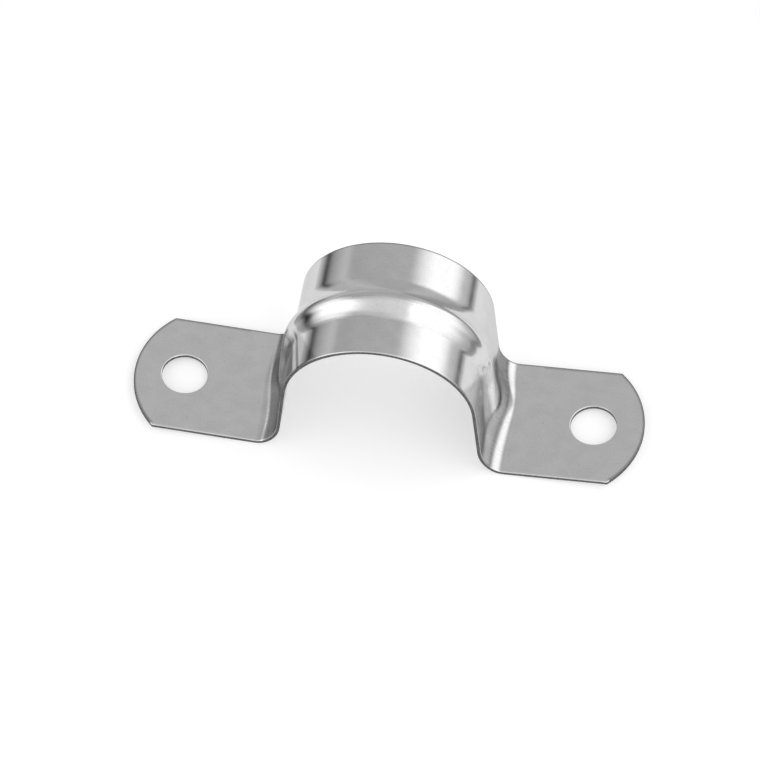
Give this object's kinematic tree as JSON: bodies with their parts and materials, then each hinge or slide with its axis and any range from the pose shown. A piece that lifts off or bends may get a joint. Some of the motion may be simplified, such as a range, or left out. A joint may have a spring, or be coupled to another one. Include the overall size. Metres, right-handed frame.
{
  "type": "conduit strap",
  "caption": "Folded sheet-steel strap that holds a round conduit against a wall: an arch with a pressed rib along its middle, and a flat, round-ended ear with a screw hole on either side.",
  "frame": {"origin": "on the wall plane, which the underside of both bends touches, under the middle of the arch", "axes": "+X from ear to ear, +Y along the conduit, +Z away from the wall"},
  "size_m": [0.056, 0.0144, 0.0204],
  "materials": {
    "steel": "bright rolled sheet, unpainted"
  },
  "bodies": {
    "root": {"strap": "steel"}
  },
  "joints": []
}
